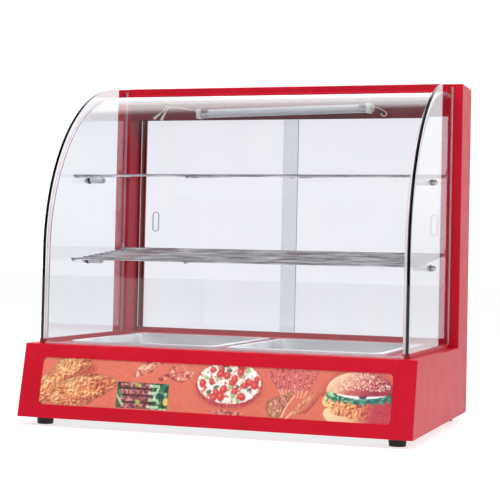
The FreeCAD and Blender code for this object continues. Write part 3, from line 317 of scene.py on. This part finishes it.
def hash_noise(x, y, seed):
    """Smooth value noise, the same on every run."""
    table = np.random.RandomState(seed).rand(NOISE_CELLS, NOISE_CELLS)
    ix, iy = np.floor(x).astype(int), np.floor(y).astype(int)
    fx, fy = x - ix, y - iy
    fx, fy = fx * fx * (3 - 2 * fx), fy * fy * (3 - 2 * fy)

    def corner(dx, dy):
        return table[(iy + dy) % NOISE_CELLS, (ix + dx) % NOISE_CELLS]

    low = corner(0, 0) * (1 - fx) + corner(1, 0) * fx
    high = corner(0, 1) * (1 - fx) + corner(1, 1) * fx
    return low * (1 - fy) + high * fy


def fractal(scale, seed, octaves=3, x=None, y=None):
    """Noise from 0 to 1; scale is the size of its largest grain."""
    x, y = (U if x is None else x) / scale, (W if y is None else y) / scale
    total, weight = 0, 0
    for i in range(octaves):
        share = 0.5 ** i
        total = total + share * hash_noise(x * 2 ** i, y * 2 ** i, seed + i)
        weight += share
    return total / weight


def waver(amount, scale, seed):
    """Noise about zero, amount from end to end."""
    return amount * (fractal(scale, seed, 2) - 0.5)


def ramp(value, *colours):
    """Colours spread evenly over 0 to 1."""
    stops = np.linspace(0, 1, len(colours))
    return np.stack([np.interp(value, stops, [c[i] for c in colours]) for i in range(3)], -1)


def speckled(scale, seed, *colours, gain=1.7):
    tone = np.clip((fractal(scale, seed) - 0.5) * gain + 0.5, 0, 1)
    return ramp(tone, *colours)


def lay(mask, colour):
    """Paints a colour, or an array of them, where the mask is near 1."""
    mask = np.clip(mask, 0, 1)[..., None]
    paint[:] = paint * (1 - mask) + np.asarray(colour, float) * mask


def soft(distance, edge=0.9):
    """1 inside, 0 outside, for a distance that is negative inside."""
    return np.clip(0.5 - distance / edge, 0, 1)


def lay_round(distance, across, colours, dark):
    """Paints a rounded thing, darkened at its sides by the share dark."""
    shade = (1 - dark * np.clip(across, 0, 1) ** 4)[..., None]
    lay(soft(distance), colours * shade)


def limb(points):
    """Distance to a chain of tapering round segments, given as (u, w, radius), and how far
    across it each point is, from 0 to 1."""
    best = np.full(U.shape, 1e9)
    across = np.zeros(U.shape)
    for (u0, w0, r0), (u1, w1, r1) in zip(points, points[1:]):
        du, dw = u1 - u0, w1 - w0
        length = math.hypot(du, dw)
        t = np.clip(((U - u0) * du + (W - w0) * dw) / length ** 2, 0, 1)
        gap = np.hypot(U - u0 - t * du, W - w0 - t * dw)
        radius = r0 + (r1 - r0) * t
        closer = gap - radius < best
        best = np.where(closer, gap - radius, best)
        across = np.where(closer, np.clip(gap / radius, 0, 1), across)
    return best, across


def oval(u, w, a, b, turn=0.0):
    """Distance to an oval of half lengths a and b."""
    c, s = math.cos(math.radians(turn)), math.sin(math.radians(turn))
    x, y = (U - u) * c + (W - w) * s, -(U - u) * s + (W - w) * c
    return (np.hypot(x / a, y / b) - 1) * min(a, b)


def block(u, w, half_long, half_high):
    """Distance to an upright rectangle; its centre and sizes may vary over the print."""
    return np.maximum(np.abs(U - u) - half_long, np.abs(W - w) - half_high)


CRUST = ((152, 50, 44), (196, 92, 68), (224, 138, 90), (238, 178, 118), (250, 212, 156))


def crumbs(seed, scale, tone):
    """Rough fried coating: bright ridges over darker pits, lit from above left."""
    warp = waver(7, 9, seed + 20)
    field = fractal(scale, seed, 3, U + warp, W - warp)
    lit = field - np.roll(np.roll(field, -3, 0), 3, 1)
    ridge = 1 - np.abs(2 * fractal(scale * 1.6, seed + 9, 3, U - warp, W + warp) - 1) * 2
    lumps = waver(0.5, 16, seed + 30)
    return ramp(np.clip(0.36 + 0.30 * ridge + 1.3 * lit + lumps + tone, 0, 1), *CRUST)


def fried(points, seed, centre, reach):
    """A fried piece with a ragged edge, paler towards the upper left of its centre."""
    distance, across = limb(points)
    distance = distance + waver(4.8, 4, seed + 3)
    lay(0.3 * soft(distance - 1.0, 4), (176, 74, 56))
    sun = np.clip(((W - centre[1]) - (U - centre[0])) / reach, -1, 1) * 0.24
    lay_round(distance, across, crumbs(seed, 3.6, sun), 0.16)


def paint_background():
    ground = 0.5 + waver(0.5, 120, 1)
    paint[:] = ramp(ground, (214, 102, 82), (234, 124, 101))


def paint_chicken():
    fried([(-232, 95, 18), (-246, 88, 20), (-262, 70, 19), (-282, 50, 19), (-296, 38, 19)],
          seed=20, centre=(-258, 70), reach=60)
    gap, _ = limb([(-212, 84, 7), (-246, 62, 8), (-268, 42, 9)])
    lay(0.6 * soft(gap, 9), (170, 54, 54))
    fried([(-178, 62, 10), (-198, 58, 18), (-222, 50, 25), (-248, 41, 23), (-264, 34, 12)],
          seed=30, centre=(-224, 52), reach=70)


def paint_wings():
    roast = ((158, 46, 58), (196, 78, 78), (226, 132, 112), (246, 202, 170))
    wings = (
        (40, [(-135, 80, 6), (-127, 86, 8.5), (-116, 92, 9.5), (-105, 98, 6), (-94, 101, 3)]),
        (44, [(-93, 73.5, 4), (-84, 78, 4), (-75, 90, 5), (-70, 93, 3)]),
        (48, [(-73, 78, 6), (-60, 77, 8), (-50, 82, 7), (-43, 87, 3.5)]),
    )
    for seed, points in wings:
        distance, across = limb(points)
        distance = distance + waver(1.6, 6, seed)
        lay_round(distance, across, speckled(5, seed + 1, *roast, gain=2.2), 0.2)
    for u, w, half_length, turn in ((-126, 92, 7, 50), (-114, 86, 9, 42), (-104, 95, 6, 30),
                                    (-78, 87, 6, 60), (-62, 83, 7, 12), (-50, 86, 6, 30)):
        lay(0.6 * soft(oval(u, w, half_length, 1.2, turn), 1.6), (248, 206, 168))
    bone, _ = limb([(-61, 98, 0.7), (-57, 92, 0.9), (-50, 87, 1.4)])
    lay(0.8 * soft(bone), (232, 150, 140))
    lay(0.8 * soft(oval(-94, 73, 4.6, 3.4, 10)), (176, 46, 66))


def paint_skewers():
    middle_w = 44.7
    inside = soft(block(-122.6, middle_w, 43, 20.9))
    lay(inside, speckled(6, 60, (14, 48, 32), (26, 96, 62), (96, 150, 96), (214, 228, 196),
                         gain=2.4))
    lay(inside * soft(block(-134, middle_w, 27, 21)), (70, 22, 34))
    for row, centre in enumerate((61.6, 50.4, 39.2, 28.2)):
        meat = block(-134.5, centre, 26, 3.9 + waver(1.2, 4, 64 + row))
        lay(inside * soft(meat), speckled(2.6, 70 + row, (96, 36, 48), (162, 84, 92),
                                          (222, 150, 150), gain=2.6))
        tip = block(-104, centre - 0.6, 9, 2.2)
        lay(0.85 * inside * soft(tip), speckled(4, 75, (150, 200, 140), (240, 248, 226)))
    for u, w, a, b, turn, green in (
            (-160, 36, 11, 2.2, -55, (180, 220, 168)), (-160, 48, 8, 1.8, -60, (60, 150, 100)),
            (-131, 62, 7, 2.6, -20, (164, 190, 70)), (-130, 34, 5, 3.4, -50, (176, 190, 90)),
            (-90, 58, 9, 4.0, 50, (24, 120, 88)), (-92, 44, 8, 5.0, -40, (14, 60, 62)),
            (-88, 33, 6, 3.0, 70, (16, 70, 50))):
        lay(0.9 * inside * soft(oval(u, w, a, b, turn), 1.4), green)
    lay(inside * soft(oval(-83, 37, 4.5, 6.5), 1.4), (226, 200, 92))


GOLDEN_ANGLE = 2.39996      # radians; spreads the toppings evenly


def paint_pizza():
    centre_u, centre_w, toppings = 20.5, 73, 46
    lay(0.35 * soft(oval(centre_u, 68, 59, 39), 4), (176, 74, 60))
    crust = oval(centre_u, 69.5, 56, 36.5)
    lay(soft(crust), speckled(4, 80, (168, 44, 60), (204, 84, 84)))
    inside = soft(oval(centre_u, centre_w, 54.5, 34) + 0.6 + waver(1.4, 5, 83))
    lay(inside, speckled(3.4, 84, (206, 96, 84), (238, 206, 192), (252, 244, 238),
                         (255, 252, 248), gain=2.6))
    scatter = np.random.RandomState(5)
    tomato, herb, olive = (206, 52, 54), (38, 84, 66), (150, 190, 128)
    for i in range(toppings):
        turn = i * GOLDEN_ANGLE
        reach = math.sqrt((i + 0.5) / toppings)
        u = centre_u + 49 * reach * math.cos(turn)
        w = centre_w + 30 * reach * math.sin(turn)
        kind = (tomato, herb, None, tomato, olive, None)[(i * 5 + i // 7) % 6]
        grow = 0.85 + 0.35 * scatter.rand()
        spin = scatter.rand() * 180
        # Each spot's strength, place, half lengths, edge and colour.
        if kind is tomato:
            spots = ((0.45, u + 0.6, w - 1.2, 6.2 * grow, 5.2 * grow, 1.6, (150, 40, 44)),
                     (1.0, u, w, 5.8 * grow, 4.8 * grow, 1.4, tomato),
                     (0.8, u - 0.8, w + 0.8, 3.0 * grow, 2.3 * grow, 1.8, (236, 120, 106)))
        elif kind:
            spots = ((0.9, u, w, 4.2 * grow, 2.8 * grow, 1.6, kind),
                     (0.6, u - 1, w + 1, 1.6, 0.9, 1, (196, 220, 176)))
        else:
            spots = ((0.8, u, w, 5 * grow, 2.2 * grow, 2, (255, 250, 246)),)
        for strength, x, y, a, b, edge, colour in spots:
            lay(strength * inside * soft(oval(x, y, a, b, spin), edge), colour)
    slice_below = oval(20, 24.6, 26, 5.2)
    lay(soft(slice_below), speckled(2.6, 90, (140, 50, 58), (206, 110, 104),
                                    (236, 168, 150), gain=2.4))


def paint_sausages():
    """A fan of thin sausages on sticks."""
    tops = ((88, 92), (98.5, 96.8), (108.5, 97.8), (119, 98.7), (131, 101), (140.5, 101),
            (153, 98.7), (166, 96.8))
    feet = (104.7, 110.2, 116, 122, 130.6, 137.2, 144, 151.5)
    foot_w, stick_w = 66, 55
    for i, ((u, w), foot) in enumerate(zip(tops, feet)):
        distance, across = limb([(foot, foot_w, 2.0), (u, w, 2.8)])
        lay_round(distance, across, speckled(1.9, 130 + i, (176, 50, 72), (208, 92, 104),
                                             (240, 168, 164), gain=2.4), 0.25)
        lean = (foot - u) / (w - foot_w)
        stick, _ = limb([(foot + lean * (foot_w - stick_w), stick_w, 0.9),
                         (foot, foot_w, 1.2)])
        lay(0.9 * soft(stick), (244, 184, 158))


def paint_drumsticks():
    distance, across = limb([(128, 62, 3), (121, 56, 6.5), (109, 43, 13), (101, 38, 16)])
    lay_round(distance, across, speckled(2.2, 92, (156, 80, 74), (200, 118, 98),
                                         (234, 184, 148), gain=2.4), 0.25)
    rim, _ = limb([(131, 58, 1.0), (121, 44, 1.3), (112, 25, 1.8)])
    lay(soft(rim), (244, 190, 142))
    bone, _ = limb([(119, 22, 1.3), (131, 33, 1.6)])
    lay(soft(bone), (244, 196, 160))
    distance, across = limb([(175, 66, 1.8), (164, 56, 7.5), (148, 42, 10.5), (134, 33, 4.5)])
    coat = speckled(3, 96, (196, 96, 74), (230, 152, 104), (248, 204, 152))
    light = np.clip(0.5 + ((W - 48) - (U - 156)) / 26, 0, 1)[..., None]
    lay_round(distance, across, coat * light + np.array((190, 72, 70)) * (1 - light), 0.15)


def paint_burger():
    centre, sesame = 241, 230
    lay(0.3 * soft(oval(centre, 62, 66, 46), 5), (176, 60, 60))
    lower_bun = oval(centre - 2, 34, 58, 23)
    turn = np.clip((U - 196) / 66, 0, 1)
    lay(soft(lower_bun), ramp(turn, (250, 212, 168), (240, 186, 142), (196, 58, 76)))

    patty, _ = limb([(188, 52, 11), (210, 44, 15), (244, 42, 16), (282, 52, 18)])
    patty = patty + waver(6.0, 6, 104)
    fade = np.clip((U - 236) / 34, 0, 1)[..., None]
    ember = speckled(5, 107, (176, 42, 66), (204, 66, 84), gain=1.4)
    crisp = crumbs(106, 3.8, np.clip((206 - U) / 90, -0.12, 0.3))
    lay(soft(patty), crisp * (1 - fade) + ember * fade)

    dip = 6.5 * np.clip(1 - np.abs(U - centre) / 60, 0, 1)
    frill = 2.4 * np.sin(U * 0.40) + 1.8 * np.sin(U * 0.93 + 1) + waver(3, 5, 110)
    leaves = np.abs(W - 62.5 + dip - frill * 0.6) - 7.0 + 1.4 * np.sin(U * 0.6)
    leaves = np.maximum(leaves, np.abs(U - centre + 0.5) - 56)
    vein = speckled(3.4, 114, (12, 74, 72), (34, 124, 98), (92, 176, 124), (196, 232, 178),
                    gain=2.4)
    deep = np.clip((U - 196) / 50, 0, 1)[..., None] * 0.45
    lay(soft(leaves), vein * (1 - deep) + np.array((20, 96, 104)) * deep)

    for sauce in ([(204, 65.5, 2.8), (222, 62.5, 3.2), (238, 60.5, 2.6)],
                  [(252, 61.0, 2.2), (266, 63.0, 2.6), (281, 66, 2.0)]):
        lay(soft(limb(sauce)[0]), (252, 246, 246))
    lay(soft(oval(245, 62, 7, 3.2, -5)), (84, 44, 84))

    rim = 67.5 - W - 5 * (1 - ((U - centre) / 57) ** 2)
    upper_bun = np.maximum(oval(centre, 69, 57, 31.5), rim)
    turn = np.clip((U - 190) / 92 + waver(0.3, 20, 118) - (W - 84) / 110, 0, 1)
    grain = waver(14, 2.2, 119)[..., None]
    lay(soft(upper_bun), ramp(turn, (252, 222, 186), (240, 190, 152), (206, 110, 104),
                              (176, 60, 78), (160, 46, 70)) + grain)
    within = np.clip(-upper_bun / 3, 0, 1)
    scatter = np.random.RandomState(11)
    for _ in range(sesame):
        u, w = 248 + 42 * (2 * scatter.rand() - 1), 71 + 28 * scatter.rand()
        spin = 180 * scatter.rand()
        lay(0.9 * within * soft(oval(u, w, 1.35, 0.8, spin), 0.8), (252, 226, 204))


for painter in (paint_background, paint_chicken, paint_wings, paint_skewers, paint_pizza,
                paint_sausages, paint_drumsticks, paint_burger):
    painter()


# ---------------------------------------------------------------- the printed sheet

BASE_Z = 0.014              # lower edge of the front panel
LEAN = 0.027 / 0.119        # how far the panel leans back for its height
SLOPE = math.hypot(1, LEAN)
SHEET = 0.0015              # thickness of the front panel's steel
PRINT_PROUD = 0.0003        # from the graphic panel's face to the print
PAPER_WHITE = 272           # the painted level that prints as full white


def print_panel():
    """The print, a fine sheet of coloured points just in front of the graphic panel."""
    rows, columns = U.shape
    height = W / 1000 / SLOPE
    front = float(cad_low[1]) + height * LEAN + SLOPE * (SHEET - PRINT_PROUD)
    points = np.stack([ALONG / 1000, front, BASE_Z + height], -1).reshape(-1, 3)
    index = np.arange(rows * columns).reshape(rows, columns)
    faces = np.stack([index[:-1, :-1], index[:-1, 1:], index[1:, 1:], index[1:, :-1]],
                     -1).reshape(-1, 4)
    mesh = new_mesh("food_print", points, faces.tolist())
    mesh.polygons.foreach_set("use_smooth", [True] * len(mesh.polygons))

    shader = Shader("food_print", Coat_Weight=0.5, Coat_Roughness=0.12)
    attribute = shader.add("ShaderNodeAttribute", attribute_name="print")
    halftone = shader.remap(shader.noise(scale=260, detail=2), 0, 0.06)
    shader.colour(shader.blend(halftone, attribute.outputs["Color"], (255, 236, 220)))
    shader.rough(shader.noise(scale=20, detail=3), 0.25, 0.36)
    shader.bump(shader.noise(scale=60, detail=3), distance=0.00003, strength=0.3)
    piece("food_print", mesh, shader)

    colours = linear(np.clip(paint / PAPER_WHITE, 0, 1))
    layer = mesh.color_attributes.new("print", "FLOAT_COLOR", "POINT")
    alpha = np.ones((rows * columns, 1))
    layer.data.foreach_set("color", np.hstack([colours.reshape(-1, 3), alpha]).ravel())


print_panel()


# ---------------------------------------------------------------- dial marks

DIAL_START, DIAL_STEP, DIAL_MARKS = 225, -30, 10        # degrees
TICK_INNER, TICK_OUTER, TICK_LONG, TICK_HALF_WIDTH = 0.0203, 0.0222, 0.0230, 0.0004
NUMBER_REACH, NUMBER_SIZE = 0.0249, 0.0036
INK_PROUD, NUMBER_DEPTH = 0.00015, 0.00005


def dial_marks():
    """Ticks and numbers round the thermostat knob, on the face turned to the rear."""
    low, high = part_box("dial_plate")
    centre = (low + high) / 2
    centre = Vector((centre[0], high[1] + INK_PROUD, centre[2]))
    ink = plastic("dial_ink", (40, 40, 42), (26, 26, 28), (0.4, 0.5))

    def outward(mark):
        turn = math.radians(DIAL_START + DIAL_STEP * mark)
        return Vector((math.cos(turn), 0, math.sin(turn)))

    vertices, faces = [], []
    for mark in range(DIAL_MARKS):
        out = outward(mark)
        across = Vector((-out.z, 0, out.x)) * TICK_HALF_WIDTH
        outer = TICK_OUTER if mark % 3 else TICK_LONG
        start = len(vertices)
        for reach, side in ((TICK_INNER, -1), (TICK_INNER, 1), (outer, 1), (outer, -1)):
            vertices.append(centre + out * reach + across * side)
        faces.append((start, start + 1, start + 2, start + 3))
    piece("dial_ticks", new_mesh("dial_ticks", vertices, faces), ink)

    for mark, number in ((0, "0"), (3, "30"), (6, "60"), (9, "90")):
        text = bpy.data.curves.new(f"dial_number_{number}", "FONT")
        text.body = number
        text.size = NUMBER_SIZE
        text.align_x = text.align_y = "CENTER"
        text.extrude = NUMBER_DEPTH
        piece(f"dial_number_{number}", text, ink,
              centre + outward(mark) * NUMBER_REACH, (math.pi / 2, 0, math.pi))


dial_marks()


# ---------------------------------------------------------------- floor, world and lamps

FLOOR_REACH, FLOOR_GLOW = 14, 0.7
# The room, by the direction looked in: dim towards the front and bright towards the rear,
# as (direction's Y, strength), times a share by height, as (direction's Z, share).
ROOM_FRONT, ROOM_REAR = (-0.4, 0.18), (0.5, 2.0)
ROOM_HEIGHT = ((0.0, 0.5), (0.04, 0.58), (0.12, 0.6), (0.3, 0.75), (0.72, 0.75), (0.8, 0.12))
WALL_STRENGTH = 1.25
# Each lamp's name, place, size and watts.
LAMPS = (("key", (2.2, -1.8, 2.4), 1.6, 34),
         ("fill", (-2.4, -2.4, 1.4), 1.8, 18),
         ("top", (0.0, -1.0, 2.6), 1.8, 70))
LAMP_AIM = Vector((0, 0, 0.25))


def add_floor():
    corners = [(x * FLOOR_REACH, y * FLOOR_REACH, 0)
               for x, y in ((-1, -1), (1, -1), (1, 1), (-1, 1))]
    floor = add_object("floor", new_mesh("floor", corners, [(0, 1, 2, 3)]))
    shader = Shader("floor", Roughness=0.9, Emission_Color=(1, 1, 1, 1),
                    Emission_Strength=FLOOR_GLOW)
    tone = shader.noise(scale=2, detail=3)
    shader.colour(shader.blend(tone, (168, 169, 172), (174, 174, 176)))
    dress(floor, shader)


def add_world():
    """Bounced light sees the room. What is seen directly, or only through glass, is an even
    pale wall, whichever way one looks."""
    world = bpy.data.worlds.new("studio")
    bpy.context.scene.world = world
    world.use_nodes = True
    nodes = Nodes(world.node_tree)
    direction = nodes.add("ShaderNodeTexCoord").outputs["Generated"]
    split = nodes.add("ShaderNodeSeparateXYZ")
    nodes.link(direction, split.inputs["Vector"])
    depth = nodes.remap(split.outputs["Y"], ROOM_FRONT[1], ROOM_REAR[1],
                        ROOM_FRONT[0], ROOM_REAR[0], "SMOOTHSTEP")
    height = nodes.add("ShaderNodeValToRGB")
    stops = height.color_ramp.elements
    stops[0].position, stops[1].position = ROOM_HEIGHT[0][0], ROOM_HEIGHT[1][0]
    for position, _ in ROOM_HEIGHT[2:]:
        stops.new(position)
    for stop, (_, share) in zip(stops, ROOM_HEIGHT):
        stop.color = (share, share, share, 1)
    nodes.link(split.outputs["Z"], height.inputs["Fac"])
    room = nodes.calculate("MULTIPLY", depth, height.outputs["Color"])

    path = nodes.add("ShaderNodeLightPath").outputs
    bounces = nodes.calculate("ADD", path["Diffuse Depth"], path["Glossy Depth"])
    level = nodes.add("ShaderNodeMix")
    nodes.link(nodes.calculate("LESS_THAN", bounces, 0.5), level.inputs["Factor"])
    nodes.link(room, level.inputs["A"])
    level.inputs["B"].default_value = WALL_STRENGTH
    background = world.node_tree.nodes["Background"]
    nodes.link(level.outputs["Result"], background.inputs["Strength"])
    background.inputs["Color"].default_value = (1, 1, 1, 1)


def add_lamps():
    for name, place, size, power in LAMPS:
        data = bpy.data.lights.new(name, "AREA")
        data.size = size
        data.energy = power
        lamp = add_object(name, data)
        lamp.location = place
        aim = LAMP_AIM - Vector(place)
        lamp.rotation_euler = aim.to_track_quat("-Z", "Y").to_euler()
        lamp.visible_glossy = False
        lamp.visible_transmission = False


add_floor()
add_world()
add_lamps()


# ---------------------------------------------------------------- camera

PICTURE, FOCAL, SHIFT_X, SHIFT_Y = 500, 1445, 20, -34.6     # the photograph's pixels
SENSOR = 36                                                 # millimetres
CAMERA_PLACE, CAMERA_RANGE = (0.772, -2.388, 0.284), 60
CAMERA_TURN, CAMERA_TILT, CAMERA_ROLL = 19.02, -1.63, 1.28  # degrees


def add_camera():
    turn, tilt, roll = (math.radians(a) for a in (CAMERA_TURN, CAMERA_TILT, CAMERA_ROLL))
    back = Vector((math.sin(turn) * math.cos(tilt), -math.cos(turn) * math.cos(tilt),
                   math.sin(tilt)))
    right = Vector((math.cos(turn), math.sin(turn), 0))
    up = back.cross(right)
    side = right * math.cos(roll) + up * math.sin(roll)
    top = up * math.cos(roll) - right * math.sin(roll)
    data = bpy.data.cameras.new("camera")
    data.sensor_width = SENSOR
    data.lens = FOCAL * SENSOR / PICTURE
    data.shift_x = SHIFT_X / PICTURE
    data.shift_y = SHIFT_Y / PICTURE
    data.clip_end = CAMERA_RANGE
    obj = add_object("camera", data)
    obj.matrix_world = Matrix((side, top, back)).transposed().to_4x4()
    obj.location = CAMERA_PLACE
    bpy.context.scene.camera = obj


add_camera()
bpy.context.scene.view_settings.view_transform = "Standard"
